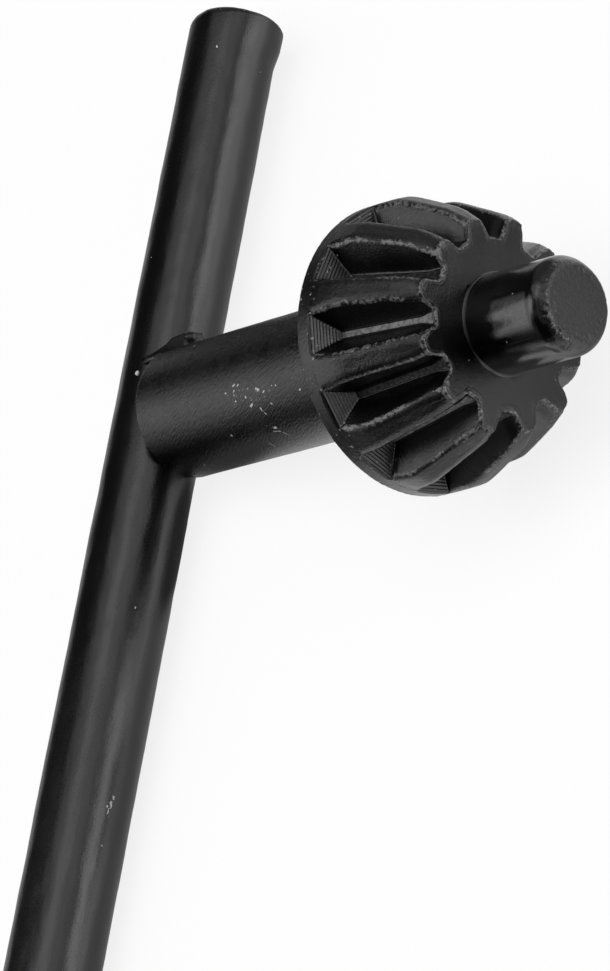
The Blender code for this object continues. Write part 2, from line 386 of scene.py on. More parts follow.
class Skin:
    """Gathers rings of points into closed shells of one mesh, with zone values per point."""

    def __init__(self):
        self.points = []
        self.zones = []
        self.faces = []
        self.count = 0

    def add(self, ring, zones):
        start = self.count
        self.points.append(ring)
        self.zones.append(np.broadcast_to(zones, (len(ring), 4)))
        self.count += len(ring)
        return list(range(start, self.count))

    def bridge(self, one, two):
        """Faces between two rings, of equal length or one with twice as many points."""
        if len(one) == len(two):
            for i in range(len(one)):
                j = (i + 1) % len(one)
                self.faces.append((one[i], one[j], two[j], two[i]))
        elif len(one) == 2 * len(two):
            for i in range(len(two)):
                j = (i + 1) % len(two)
                a, b, c = one[2 * i], one[2 * i + 1], one[(2 * i + 2) % len(one)]
                self.faces += [(a, b, two[i]), (b, two[j], two[i]), (b, c, two[j])]
        else:
            for i in range(len(one)):
                j = (i + 1) % len(one)
                a, b, c = two[2 * i], two[2 * i + 1], two[(2 * i + 2) % len(two)]
                self.faces += [(b, a, one[i]), (b, one[i], one[j]), (c, b, one[j])]

    def cap(self, ring, centre, zones, at_start):
        middle = self.add(np.array([centre]), zones)[0]
        for i in range(len(ring)):
            j = (i + 1) % len(ring)
            self.faces.append((ring[j], ring[i], middle) if at_start else (ring[i], ring[j], middle))

    def close(self, ids, first_centre, last_centre, first_zones, last_zones, flipped=False):
        """Join a row of added rings, and cap both of its ends."""
        for one, two in zip(ids, ids[1:]):
            self.bridge(*((two, one) if flipped else (one, two)))
        self.cap(ids[0], first_centre, first_zones, at_start=not flipped)
        self.cap(ids[-1], last_centre, last_zones, at_start=flipped)

    def make(self, name, material):
        points = np.concatenate(self.points)
        world = points @ np.array(KEY.to_3x3()).T + np.array(KEY.translation)
        mesh = bpy.data.meshes.new(name)
        mesh.from_pydata([tuple(p) for p in world], [], self.faces)
        attribute = mesh.attributes.new("zones", "FLOAT_COLOR", "POINT")
        attribute.data.foreach_set("color", np.concatenate(self.zones).astype(np.float32).ravel())
        place = mesh.attributes.new("place", "FLOAT_VECTOR", "POINT")
        place.data.foreach_set("vector", points.astype(np.float32).ravel())
        mesh.validate()
        outward = bmesh.new()
        outward.from_mesh(mesh)
        bmesh.ops.recalc_face_normals(outward, faces=outward.faces)
        outward.to_mesh(mesh)
        outward.free()
        mesh.shade_smooth()
        mesh.materials.append(material)
        item = bpy.data.objects.new(name, mesh)
        bpy.context.scene.collection.objects.link(item)
        return item


# Pinion sections


def blank_radius(x, lobe):
    """Radius over a tooth: cylinder, cone, and a tip worn down to its own radius at the face."""
    slope = (RIM_RADIUS - CREST_RADIUS_AT_FACE) / (FACE - RIM_FRONT)
    past = x - RIM_FRONT
    bend = 0.5 * (past + math.sqrt(past * past + CONE_SOFTNESS)) - CONE_LAG
    worn = (CREST_RADIUS_AT_FACE - TIP_SPARE - lobe) * ramp(x, TIP_WEAR_START, FACE - TIP_WEAR_START)
    rolled = TIP_ROLL * ramp(x, *TIP_ROLL_RAMP)
    return RIM_RADIUS - slope * max(bend, 0.0) - max(worn, 0.0) - rolled


def space_half_width(height):
    return SPACE_HALF_WIDTH[0] + height * (SPACE_HALF_WIDTH[1] + height * SPACE_HALF_WIDTH[2])


def flank_height(root, outer, flare):
    """Height over the root at which a flank meets the outer radius, found by halving."""
    low, high = 0.0, HIGHEST_FLANK
    for _ in range(40):
        middle = (low + high) / 2
        if math.hypot(root + middle, space_half_width(middle) + flare) < outer:
            low = middle
        else:
            high = middle
    return low


def half_section(x, floor_height, lobe, corner, flare):
    """Points (radial, sideways) from a space's middle to the middle of the next tooth's land."""
    root = ROOT_RADIUS_AT_FACE + (FACE - x) * ROOT_SLOPE
    outer = blank_radius(x, lobe)
    crest_height = flank_height(root, outer, flare)
    floor_height = min(floor_height, crest_height - LEAST_FLANK)

    def on_flank(share):
        height = floor_height + (crest_height - floor_height) * share
        return np.array([root + height, space_half_width(height) + flare])

    def on_land(angle):
        return np.array([outer * math.cos(angle), outer * math.sin(angle)])

    # Each rounding gives way where the flank, the land or the floor is short.
    crest, foot = on_flank(1.0), on_flank(0.0)
    length = float(np.linalg.norm(crest - foot))
    crest_angle = math.atan2(crest[1], crest[0])
    reach = min(corner, 0.45 * length)
    land_reach = min(corner / outer, 0.85 * (PITCH / 2 - crest_angle))
    fillet = min(FLOOR_FILLET, 0.4 * length, 0.5 * foot[1])
    first, last = fillet / length, 1.0 - reach / length
    floor_end = np.array([foot[0], foot[1] - fillet])
    land_start = crest_angle + land_reach
    points = [np.array([foot[0], floor_end[1] * share]) for share in (0.0, 0.4, 0.75)]
    points += [bezier(floor_end, foot, on_flank(first), t) for t in (0.0, 0.33, 0.67, 1.0)]
    points += [on_flank(first + (last - first) * k / 5) for k in range(1, 5)]
    points += [bezier(on_flank(last), crest, on_land(land_start), t) for t in np.linspace(0.0, 1.0, 8)]
    points += [on_land(land_start + (PITCH / 2 - land_start) * share) for share in (0.3, 0.65, 1.0)]
    return np.array(points)


def ring_section(x, floor_height, corner, flare=0.0):
    """Radius and angle of all columns at one place along the pinion."""
    radii, angles = [], []
    for space in range(TEETH):
        turn = FIRST_SPACE + space * PITCH
        before = half_section(x, floor_height, LOBE_RADII[space], corner, flare)
        after = half_section(x, floor_height, LOBE_RADII[(space + 1) % TEETH], corner, flare)
        left = [(math.hypot(*p), turn - math.atan2(p[1], p[0])) for p in before[:0:-1]]
        right = [(math.hypot(*p), turn + math.atan2(p[1], p[0])) for p in after[:-1]]
        for radius, angle in left + right:
            radii.append(radius)
            angles.append(angle)
    return np.array(radii), np.array(angles)


def column_zone(values):
    """The values of one half section, repeated for every space in the order of ring_section."""
    return np.tile(np.array(list(values[:0:-1]) + list(values[:-1])), TEETH)


EDGE = column_zone([0] * 11 + [0.2, 0.6, 1, 1, 0.8, 0.55, 0.4, 0.28, 0.15, 0, 0])
FLOOR = column_zone([1, 1, 1, 1, 0.7, 0.2] + [0] * 16)
LAND = column_zone([0] * 12 + [0.1, 0.25, 0.45, 0.65, 0.8, 0.9, 1, 1, 1, 1])


# Body: shank, pinion and pilot


def edge_break(x, radius, size, share):
    """Place and radius on the rounded edge from a face that looks back (0) to the side (1)."""
    angle = share * math.pi / 2
    return x + size * (1 - math.cos(angle)), radius - size * (1 - math.sin(angle))


def shank_rings(angles):
    """Welded end, edge break, shank, fillet and the inner part of the rim's back face."""
    rings = [plain_ring(SHANK_START, radius, angles, zone()) for radius in WELDED_END_RADII]
    for share in (0.0, 0.35, 0.7, 1.0):
        x, radius = edge_break(SHANK_START, SHANK_RADIUS, SHANK_EDGE_BREAK, share)
        rings.append(plain_ring(x, radius, angles, zone(edge=0.6)))
    start = SHANK_START + SHANK_EDGE_BREAK
    end = BACK - SHANK_FILLET
    for step in range(1, SHANK_STEPS + 1):
        x = start + (end - start) * step / SHANK_STEPS
        rings.append(plain_ring(x, SHANK_RADIUS, angles, zone(turned=0.3)))
    for share in (0.25, 0.5, 0.75, 1.0):
        angle = share * math.pi / 2
        x = end + SHANK_FILLET * math.sin(angle)
        radius = SHANK_RADIUS + SHANK_FILLET * (1 - math.cos(angle))
        rings.append(plain_ring(x, radius, angles, zone(turned=0.6)))
    rings += [plain_ring(BACK, radius, angles, zone(turned=1.0)) for radius in INNER_BACK_RADII]
    return rings


def rim_rings(even, toothed):
    """Outer part of the back face, edge break and rim, from even columns to the teeth's spacing."""

    def blended(blend):
        return even + (toothed - even) * blend

    rings = []
    for radius, blend in OUTER_BACK_RADII_AND_BLENDS:
        rings.append(plain_ring(BACK, radius, blended(blend), zone(turned=1.0)))
    for share in (0.3, 0.65, 1.0):
        x, radius = edge_break(BACK, RIM_RADIUS, RIM_EDGE_BREAK, share)
        rings.append(plain_ring(x, radius, blended(RIM_EDGE_BLEND), zone(edge=0.6, worn=0.5)))
    for x, blend in RIM_PLACES_AND_BLENDS:
        rings.append(plain_ring(x, RIM_RADIUS, blended(blend), zone(turned=0.8, worn=0.6)))
    return rings


def wall_rings():
    """The leaning end walls of the tooth spaces, with their fine ribs."""
    root_at_wall = ROOT_RADIUS_AT_FACE + (FACE - WALL_FOOT) * ROOT_SLOPE
    wall_height = (RIM_RADIUS - root_at_wall) / (1.0 - ROOT_SLOPE * WALL_LEAN)
    on_wall = np.clip(FLOOR * 1.2, 0, 1)
    zones = zone(edge=EDGE, floor=FLOOR * 0.5, turned=0.8 * LAND, worn=0.6 * LAND)
    rings = []
    for step in range(WALL_STEPS + 1):
        height = max(wall_height * (1 - step / WALL_STEPS) - WALL_SPARE, 0.0)
        x = WALL_FOOT - height * WALL_LEAN
        radii, angles = ring_section(x, height, LAND_ROUNDING)
        place = np.full(BODY_COLUMNS, x)
        if 2 < step < WALL_STEPS - 1:
            place = place + RIB_RELIEF[step % 3] * on_wall
        rings.append((around_x(place, radii, angles), zones))
    return rings


def tooth_rings():
    """The teeth, from the foot of the walls to the rounding at the front face."""
    zones = zone(edge=EDGE, floor=FLOOR, worn=LAND)
    rings = []
    for x in TOOTH_PLACES:
        corner = LAND_ROUNDING + MOUTH_ROUNDING * ramp(x, *MOUTH_ROUNDING_RAMP)
        radii, angles = ring_section(x, 0.0, corner, MOUTH_FLARE * ramp(x, *MOUTH_FLARE_RAMP))
        rings.append((around_x(np.full(BODY_COLUMNS, x), radii, angles), zones))
    return rings


def face_rings(outline):
    """Rounding inside the toothed outline, then the front face in to the pilot's foot, and its angles."""
    tangent = np.roll(outline, -1, axis=0) - np.roll(outline, 1, axis=0)
    inward = np.stack([-tangent[:, 1], tangent[:, 0]], axis=-1)
    inward /= np.linalg.norm(inward, axis=1, keepdims=True)
    rings = []
    for step, edge in enumerate(FACE_ROUNDING_EDGES, start=1):
        angle = step / len(FACE_ROUNDING_EDGES) * math.pi / 2
        moved = outline + inward * FACE_ROUNDING * (1 - math.cos(angle))
        place = np.full(BODY_COLUMNS, FACE - FACE_ROUNDING * (1 - math.sin(angle)))
        rings.append((np.column_stack([place, moved]), zone(edge=edge)))
    outer = np.hypot(moved[:, 0], moved[:, 1])
    angles = np.arctan2(moved[:, 1], moved[:, 0])
    foot = PILOT_RADIUS + PILOT_FOOT
    for share in FACE_SHARES:
        edge = 0.3 if share == FACE_SHARES[0] else 0.0
        ring = around_x(np.full(BODY_COLUMNS, FACE), outer + (foot - outer) * share, angles)
        rings.append((ring, zone(edge=edge, turned=1.0)))
    return rings, angles


def pilot_rings(angles):
    """Foot ring, side, chamfer with its two roundings, and end face."""
    start = FACE + PILOT_FOOT
    chamfer = PILOT_END - PILOT_CHAMFER
    side_end = np.array([chamfer - CHAMFER_LEAD, PILOT_RADIUS])
    bend = np.array([chamfer, PILOT_RADIUS])
    corner = np.array([PILOT_END, PILOT_END_RADIUS])
    chamfer_start = bend + (corner - bend) * CHAMFER_START_SHARE
    chamfer_end = corner + (chamfer_start - corner) * CHAMFER_END_SHARE
    end_start = corner - np.array([0.0, PILOT_RIM_REACH])
    chipped = 0.45 + 0.55 * np.cos(angles - CHIPPED_SIDE).clip(0.0)
    rings = []

    def add(place_and_radius, **zones):
        rings.append(plain_ring(*place_and_radius, angles, zone(**zones)))

    for rise, reach in FOOT_RING:
        add((FACE + rise, PILOT_RADIUS + reach), turned=0.5)
    for step in range(1, PILOT_STEPS + 1):
        add((start + (side_end[0] - start) * step / PILOT_STEPS, PILOT_RADIUS), turned=0.4)
    for share in np.linspace(0.0, 1.0, 10)[1:]:
        add(bezier(side_end, bend, chamfer_start, share), turned=0.4)
    for share in (0.5, 1.0):
        add(chamfer_start + (chamfer_end - chamfer_start) * share, turned=0.3, worn=share)
    for share in np.linspace(0.0, 1.0, 9)[1:]:
        ridge = 1.0 - 0.6 * abs(2 * share - 1)
        add(bezier(chamfer_end, corner, end_start, share), edge=ridge * chipped, worn=1.0)
    for radius in PILOT_END_RADII:
        add((PILOT_END, radius), worn=1.0)
    return rings


def pilot_rim_chips(points, worn):
    """Dents that bite into the pilot's rim, deepest on its chipped side."""
    out = np.hypot(points[..., 1], points[..., 2])
    angle = np.arctan2(points[..., 2], points[..., 1])
    past_chamfer = points[..., 0] > PILOT_END - PILOT_CHAMFER + 0.3
    rim = worn * past_chamfer * ramp(out, 1.75, 0.3)
    side = 0.4 + 0.6 * np.cos(angle - CHIPPED_SIDE).clip(0.0)
    return RIM_CHIP_DEPTH * rim * side * np.minimum(rough(points, 0.32, 6), 0.05)


def roughened(points, zones, is_pilot):
    """Rings pushed along their own normals: waves, burred edges, wear, and dents in the pilot's rim."""
    x, edge, worn = points[..., 0], zones[..., 0], zones[..., 3]
    stretches = np.clip(rough(points, 1.1, 31, 2) + 0.35, 0.0, 1.0)
    burr = rough(points, 0.3, 3, 4) * (0.25 + 1.3 * stretches)
    burr_depth = BURR_DEPTH + MOUTH_BURR_DEPTH * ramp(x, *MOUTH_BURR_RAMP) * (x < FACE + HAIR)
    push = waves(points, BODY_WAVES) + edge * (EDGE_SWELL + burr_depth * burr)
    push = push + WEAR_DEPTH * worn * rough(points, 0.45, 5)
    if is_pilot:
        push = push * (x < PILOT_END - HAIR) + pilot_rim_chips(points, worn)
    return points + grid_normals(points) * push[..., None]


def make_key_body(material):
    """Shank, pinion and pilot in one shell, with the weld's web and beads."""
    half = BODY_COLUMNS // 2
    even_half = FIRST_SPACE - PITCH / 2 + (np.arange(half) + 0.5) * math.tau / half
    last_rim_place = RIM_PLACES_AND_BLENDS[-1][0]
    _, toothed = ring_section(last_rim_place, CLOSED, LAND_ROUNDING)
    even = toothed[0] + np.arange(BODY_COLUMNS) * math.tau / BODY_COLUMNS
    shank = shank_rings(even_half)
    pinion = rim_rings(even, toothed) + wall_rings() + tooth_rings()
    face, face_angles = face_rings(pinion[-1][0][:, 1:])
    pilot = pilot_rings(face_angles[::2])

    skin = Skin()
    ids = []
    for rings in (shank, pinion + face, pilot):
        points, zones = stacked(rings)
        points = roughened(points, zones, rings is pilot)
        ids += [skin.add(ring, values) for ring, values in zip(points, zones)]
    skin.close(ids, (SHANK_START, 0.0, 0.0), (PILOT_END, 0.0, 0.0), (0, 0, 0, 0), (0, 0, 0, 1))
    add_weld(skin)
    for centre, radii in BEADS:
        add_bead(skin, np.array(centre), np.array(radii))
    return skin.make("key_body_skin", material)


# Weld


def weld_section(degrees):
    """Outline of the web at one angle round the shank: a hollow curve outside, the rest sunk in the steel."""
    angle = math.radians(degrees)
    height, width = SHANK_RADIUS * math.sin(angle), SHANK_RADIUS * math.cos(angle)
    against = math.sqrt(max(BAR_RADIUS ** 2 - height ** 2, 0.05))
    fade = smooth((WELD_FADE_OUT[0] - degrees) / WELD_FADE_OUT[1]) * ramp(degrees, *WELD_FADE_IN)
    size = WELD_LEG * fade + WELD_THINNEST
    size *= 1.0 + 0.12 * math.sin(degrees * 0.31) + 0.08 * math.sin(degrees * 0.77)
    on_shank = max(against, SHANK_START) + 0.6 * size
    on_bar = width + 1.3 * size
    start = np.array([on_shank, width - 0.01])
    bend = np.array([against + 0.36 * size, width + 0.72 * size])
    end = np.array([against - 0.01, on_bar])
    outline = [bezier(start, bend, end, t) for t in np.linspace(0.0, 1.0, 9)]
    outline += [(against - 0.3, on_bar - 0.2), (against - 0.3, width - 0.4), (on_shank - 0.1, width - 0.4)]
    return np.array([[x, y, height] for x, y in outline])


def add_weld(skin):
    """Small concave web of weld metal in the corner between the bar's side and the shank's."""
    sections = [weld_section(degrees) for degrees in np.linspace(*WELD_SPAN, WELD_SECTIONS)]
    ids = [skin.add(section, WELD_ZONES) for section in sections]
    skin.close(ids, sections[0].mean(axis=0), sections[-1].mean(axis=0), WELD_ZONES, WELD_ZONES)


def add_bead(skin, centre, radii):
    """A bead of spatter: a slightly uneven ball sunk into the surface."""
    around = np.arange(BEAD_COLUMNS) * math.tau / BEAD_COLUMNS
    rings = []
    for polar in np.linspace(0.0, math.pi, BEAD_RINGS + 2)[1:-1]:
        ring = around_y(np.full(BEAD_COLUMNS, np.cos(polar)), np.sin(polar), around)
        rings.append(centre + ring * radii * (1.0 + 0.12 * rough(ring, 0.9, 21))[:, None])
    ids = [skin.add(ring, (0.2, 0, 0, 1)) for ring in rings]
    skin.close(ids, rings[0].mean(axis=0), rings[-1].mean(axis=0), (0, 0, 0, 0), (0, 0, 0, 0))


# Cross bar


def bar_end_rings(end, sign, angles, rolled, lip):
    """From the plain rod over the sheared edge to the middle of one end; only the short arm has a lip."""
    rounding = END_ROUNDING[0] + END_ROUNDING[1] * rolled ** ROLLED_POWER
    inset = END_INSET[0] + END_INSET[1] * rolled ** ROLLED_POWER
    rings = []
    for share in np.linspace(0.0, 1.0, 10):
        turn = share * math.pi / 2
        place = end + sign * (END_SLANT * rolled * share - rounding * (1 - math.sin(turn)))
        radius = BAR_RADIUS + lip * (sign > 0) - inset * (1 - math.cos(turn))
        rings.append((around_y(place, radius, angles), zone(edge=0.1 + 0.6 * math.sin(turn * 2))))
    outer = rings[-1][0]
    centre = np.array([0.0, end, 0.0])
    rings += [(outer + (centre - outer) * share, zone(edge=0.6)) for share in END_FACE_SHARES]
    return rings


def make_cross_bar(material):
    """Drawn rod, slightly wavy, its ends sheared: rolled over on one side, a small lip on the other."""
    angles = (np.arange(BAR_COLUMNS) + 0.5) * math.tau / BAR_COLUMNS
    rolled = 0.5 + 0.5 * np.cos(angles - ROLLED_SIDE)
    lip = LIP * (1 - rolled) ** 3
    plain_length = LONG_ARM + SHORT_ARM - 2 * END_LENGTH
    steps = int(plain_length / BAR_STEP)
    rings = bar_end_rings(-LONG_ARM, -1.0, angles, rolled, lip)[::-1]
    for step in range(steps + 1):
        place = -LONG_ARM + END_LENGTH + plain_length * step / steps
        radius = BAR_RADIUS + lip * ramp(place, *LIP_RAMP)
        rings.append((around_y(np.full(BAR_COLUMNS, place), radius, angles), zone()))
    rings += bar_end_rings(SHORT_ARM, 1.0, angles, rolled, lip)

    points, zones = stacked(rings)
    push = waves(points, BAR_WAVES) + zones[..., 0] * BAR_END_DEPTH * rough(points, 0.35, 14, 4)
    points = points - grid_normals(points) * push[..., None]
    skin = Skin()
    ids = [skin.add(ring, values) for ring, values in zip(points, zones)]
    end_zones = (0.6, 0, 0, 0)
    skin.close(ids, (0.0, -LONG_ARM, 0.0), (0.0, SHORT_ARM, 0.0), end_zones, end_zones, flipped=True)
    return skin.make("cross_bar_skin", material)


# Materials


class Nodes:
    """Short names for building a node tree."""

    def __init__(self, tree):
        self.tree = tree

    def add(self, kind, **values):
        node = self.tree.nodes.new(kind)
        for name, value in values.items():
            setattr(node, name, value)
        return node

    def link(self, one, two):
        self.tree.links.new(one, two)

    def noise(self, vector, scale, detail=3.0, roughness=0.55):
        node = self.add("ShaderNodeTexNoise")
        node.inputs["Scale"].default_value = scale
        node.inputs["Detail"].default_value = detail
        node.inputs["Roughness"].default_value = roughness
        self.link(vector, node.inputs["Vector"])
        return node.outputs["Fac"]

    def math(self, operation, one, two=0.0):
        node = self.add("ShaderNodeMath", operation=operation)
        for socket, value in zip(node.inputs, (one, two)):
            if isinstance(value, (int, float)):
                socket.default_value = value
            else:
                self.link(value, socket)
        return node.outputs[0]

    def plus(self, one, two):
        return self.math("ADD", one, two)

    def minus(self, one, two):
        return self.math("SUBTRACT", one, two)

    def times(self, one, two):
        return self.math("MULTIPLY", one, two)

    def larger(self, one, two):
        return self.math("MAXIMUM", one, two)

    def span(self, value, low, high, new_low=0.0, new_high=1.0):
        """Smooth change from one number to another while the value goes from low to high."""
        node = self.add("ShaderNodeMapRange", interpolation_type="SMOOTHSTEP")
        names = ("From Min", "From Max", "To Min", "To Max")
        for name, number in zip(names, (low, high, new_low, new_high)):
            node.inputs[name].default_value = number
        self.link(value, node.inputs["Value"])
        return node.outputs["Result"]

    def fall(self, value, low, high):
        """1 below low, falling to 0 at high."""
        return self.span(value, low, high, 1.0, 0.0)

    def band(self, value, rise_start, rise_end, fall_start, fall_end):
        """1 between two soft borders, 0 outside them."""
        return self.times(self.span(value, rise_start, rise_end), self.fall(value, fall_start, fall_end))

    def mapped(self, vector, place=(0.0, 0.0, 0.0), turn=0.0, size=None, scale=None):
        """Coordinates scaled, or seen from a patch with its own place, turn about Z and size."""
        node = self.add("ShaderNodeMapping", vector_type="POINT" if scale else "TEXTURE")
        node.inputs["Location"].default_value = place
        node.inputs["Rotation"].default_value = (0.0, 0.0, turn)
        node.inputs["Scale"].default_value = scale or size
        self.link(vector, node.inputs["Vector"])
        return node.outputs["Vector"]

    def length(self, vector):
        node = self.add("ShaderNodeVectorMath", operation="LENGTH")
        self.link(vector, node.inputs[0])
        return node.outputs["Value"]

    def parts(self, vector):
        node = self.add("ShaderNodeSeparateXYZ")
        self.link(vector, node.inputs[0])
        return node.outputs[0], node.outputs[1], node.outputs[2]

    def unrolled(self, along, up, sideways, radius):
        """A round surface rolled out flat: its coordinates in millimetres, and those round it alone."""
        node = self.add("ShaderNodeCombineXYZ")
        around = self.times(self.math("ARCTAN2", up, sideways), radius)
        self.link(along, node.inputs[0])
        self.link(around, node.inputs[1])
        return node.outputs[0], around

    def mix(self, share, one, two):
        node = self.add("ShaderNodeMix", data_type="RGBA")
        self.link(share, node.inputs[0])
        for socket, value in ((node.inputs[6], one), (node.inputs[7], two)):
            if isinstance(value, tuple):
                socket.default_value = (*value, 1.0)
            else:
                self.link(value, socket)
        return node.outputs[2]


class Steel(Nodes):
    """Black oxide over steel: near black, semi-gloss, finely uneven, bare and rough along burred edges."""

    def __init__(self, name, cloud_scale=(1.0, 1.0, 1.0)):
        self.material = bpy.data.materials.new(name)
        self.material.use_nodes = True
        super().__init__(self.material.node_tree)
        self.place = self.add("ShaderNodeAttribute", attribute_name="place").outputs["Vector"]
        zones = self.add("ShaderNodeAttribute", attribute_name="zones")
        split = self.add("ShaderNodeSeparateColor")
        self.link(zones.outputs["Color"], split.inputs[0])
        self.edge, self.floor, self.turned = split.outputs[0], split.outputs[1], split.outputs[2]
        self.worn = zones.outputs["Alpha"]
        self.cloud = self.noise(self.mapped(self.place, scale=cloud_scale), 0.5, 2.0)
        self.coarse = self.noise(self.place, 4.6, 2.0, 0.6)
        self.grain = self.noise(self.place, 10.0, 2.0, 0.65)
        self.mixed = self.times(self.plus(self.coarse, self.grain), 0.5)
        self.specks = self.span(self.noise(self.place, 3.1, 1.0, 0.5), 0.80, 0.83)
        self.bare = self.bare_edges()

    def bare_edges(self):
        """1 where the oxide is gone from a burred edge: broken up by noise, and missing in stretches."""
        ragged = self.plus(self.edge, self.times(self.minus(self.coarse, 0.5), 2.0))
        patchy = self.times(self.minus(self.noise(self.place, 0.8, 1.0), 0.55), 2.4)
        ragged = self.plus(ragged, self.math("MINIMUM", patchy, 0.0))
        return self.times(self.span(ragged, 0.7, 1.1), self.span(self.mixed, 0.34, 0.58))

    def chips(self, sheet, listed, radius):
        """1 inside each of the listed chips and scratches, their outlines broken up by noise."""
        wobble = self.times(self.minus(self.noise(self.place, 12.0, 1.0), 0.5), 2.6)
        mask = 0.0
        for along, degrees, half_length, half_width, slant in listed:
            centre = (along, math.radians(degrees) * radius, 0.0)
            size = (half_length, half_width, 1.0)
            local = self.mapped(sheet, place=centre, turn=math.radians(slant), size=size)
            mask = self.larger(self.fall(self.plus(self.length(local), wobble), 0.75, 1.1), mask)
        return mask

    def strokes(self, sheet, length, width, detail, roughness=0.55):
        """Noise drawn out along the slanting strokes on the shank."""
        local = self.mapped(sheet, turn=STROKE_SLANT, size=(length, width, 1.0))
        return self.noise(local, 1.0, detail, roughness)

    def base(self):
        """Colour and metal share of the oxide, worn to a lighter black on lands, with the bare edges."""
        colour = self.mix(self.span(self.cloud, 0.3, 0.7), OXIDE_DARK, OXIDE_LIGHT)
        colour = self.mix(self.times(self.worn, self.span(self.mixed, 0.44, 0.6)), colour, OXIDE_WORN)
        return self.mix(self.bare, colour, BARE_STEEL), self.times(self.bare, 0.8)

    def roughness(self, base):
        """Surface roughness, uneven like the oxide, higher on worn and bare steel and on tooth floors."""
        rough_spots = self.plus(self.times(self.worn, 0.10), self.times(self.bare, 0.15))
        total = self.span(self.cloud, 0.25, 0.75, base - 0.03, base + 0.05)
        total = self.plus(total, self.times(self.minus(self.grain, 0.5), 0.10))
        total = self.plus(total, rough_spots)
        return self.plus(total, self.times(self.floor, 0.10))

    def relief(self, fine_share, coarse_share, strokes, stroke_share):
        """Height for the bump: the shares are of plain surface, and edges, wear and turning add to them."""
        added = self.plus(self.times(self.edge, 1.5), self.times(self.worn, 1.9))
        added = self.plus(added, self.times(self.turned, 0.7))
        height = self.times(self.grain, self.plus(added, fine_share))
        coarse_share = self.plus(self.times(added, 1.6), coarse_share)
        height = self.plus(height, self.times(self.coarse, coarse_share))
        height = self.plus(height, self.times(self.cloud, 0.8))
        return self.plus(height, self.times(strokes, stroke_share))

    def finish(self, colour, metal, chips, roughness, height):
        """Lay the chips over all, and set the shader."""
        shader = self.tree.nodes["Principled BSDF"]
        self.link(self.mix(chips, colour, CHIP_COLOUR), shader.inputs["Base Color"])
        self.link(self.times(metal, self.minus(1.0, chips)), shader.inputs["Metallic"])
        self.link(roughness, shader.inputs["Roughness"])
        bump = self.add("ShaderNodeBump")
        bump.inputs["Strength"].default_value = BUMP_STRENGTH
        bump.inputs["Distance"].default_value = BUMP_DISTANCE
        self.link(height, bump.inputs["Height"])
        self.link(bump.outputs["Normal"], shader.inputs["Normal"])
        shader.inputs["IOR"].default_value = OXIDE_IOR
        return self.material


def bar_look(name):
    """Drawn rod: everything drawn out along the bar, with a few bare chips."""
    steel = Steel(name, cloud_scale=(1.0, 0.12, 1.0))
    x, y, z = steel.parts(steel.place)
    sheet, _ = steel.unrolled(y, z, x, BAR_RADIUS)
    chips = steel.larger(steel.chips(sheet, BAR_CHIPS, BAR_RADIUS), steel.specks)
    strokes = steel.noise(steel.mapped(steel.place, scale=(5.0, 0.5, 5.0)), 1.0, 2.0, 0.6)
    colour, metal = steel.base()
    height = steel.relief(0.6, 0.7, strokes, 0.5)
    return steel.finish(colour, metal, chips, steel.roughness(BAR_ROUGHNESS), height)


def body_chips(steel, sheet, along, on_shank):
    """Chips and scratches of the shank, short dashes among them, and bright specks on the rim."""
    centre = (DASHED_PLACE, DASHED_SIDE * SHANK_RADIUS, 0.0)
    from_centre = steel.length(steel.mapped(sheet, place=centre, size=DASHED_SIZE))
    dashes = steel.span(steel.strokes(sheet, 0.3, 0.085, 1.0), 0.65, 0.74)
    dashes = steel.times(dashes, steel.times(steel.fall(from_centre, 0.2, 1.0), 0.75))
    chips = steel.times(steel.larger(steel.chips(sheet, CHIPS, SHANK_RADIUS), dashes), on_shank)
    rim_specks = steel.span(steel.noise(steel.place, 4.4, 1.0, 0.5), 0.70, 0.74)
    rim_specks = steel.times(steel.times(rim_specks, steel.band(along, *RIM_STRETCH)), 0.45)
    return steel.larger(chips, steel.larger(steel.times(steel.specks, 0.8), rim_specks))


def pilot_wear(steel, sheet, along, around, on_pilot):
    """The pilot's rubbed patch, and the scratches beside it."""
    from_middle = steel.math("ABSOLUTE", steel.minus(around, RUBBED_SIDE * SHANK_RADIUS))
    patch = steel.times(steel.band(along, *RUBBED_STRETCH), steel.fall(from_middle, *RUBBED_HALF_WIDTH))
    patch = steel.times(patch, steel.span(steel.mixed, 0.38, 0.56, 0.55, 1.0))
    scratches = steel.chips(sheet, PILOT_MARKS, SHANK_RADIUS)
    return steel.larger(patch, steel.times(scratches, on_pilot))


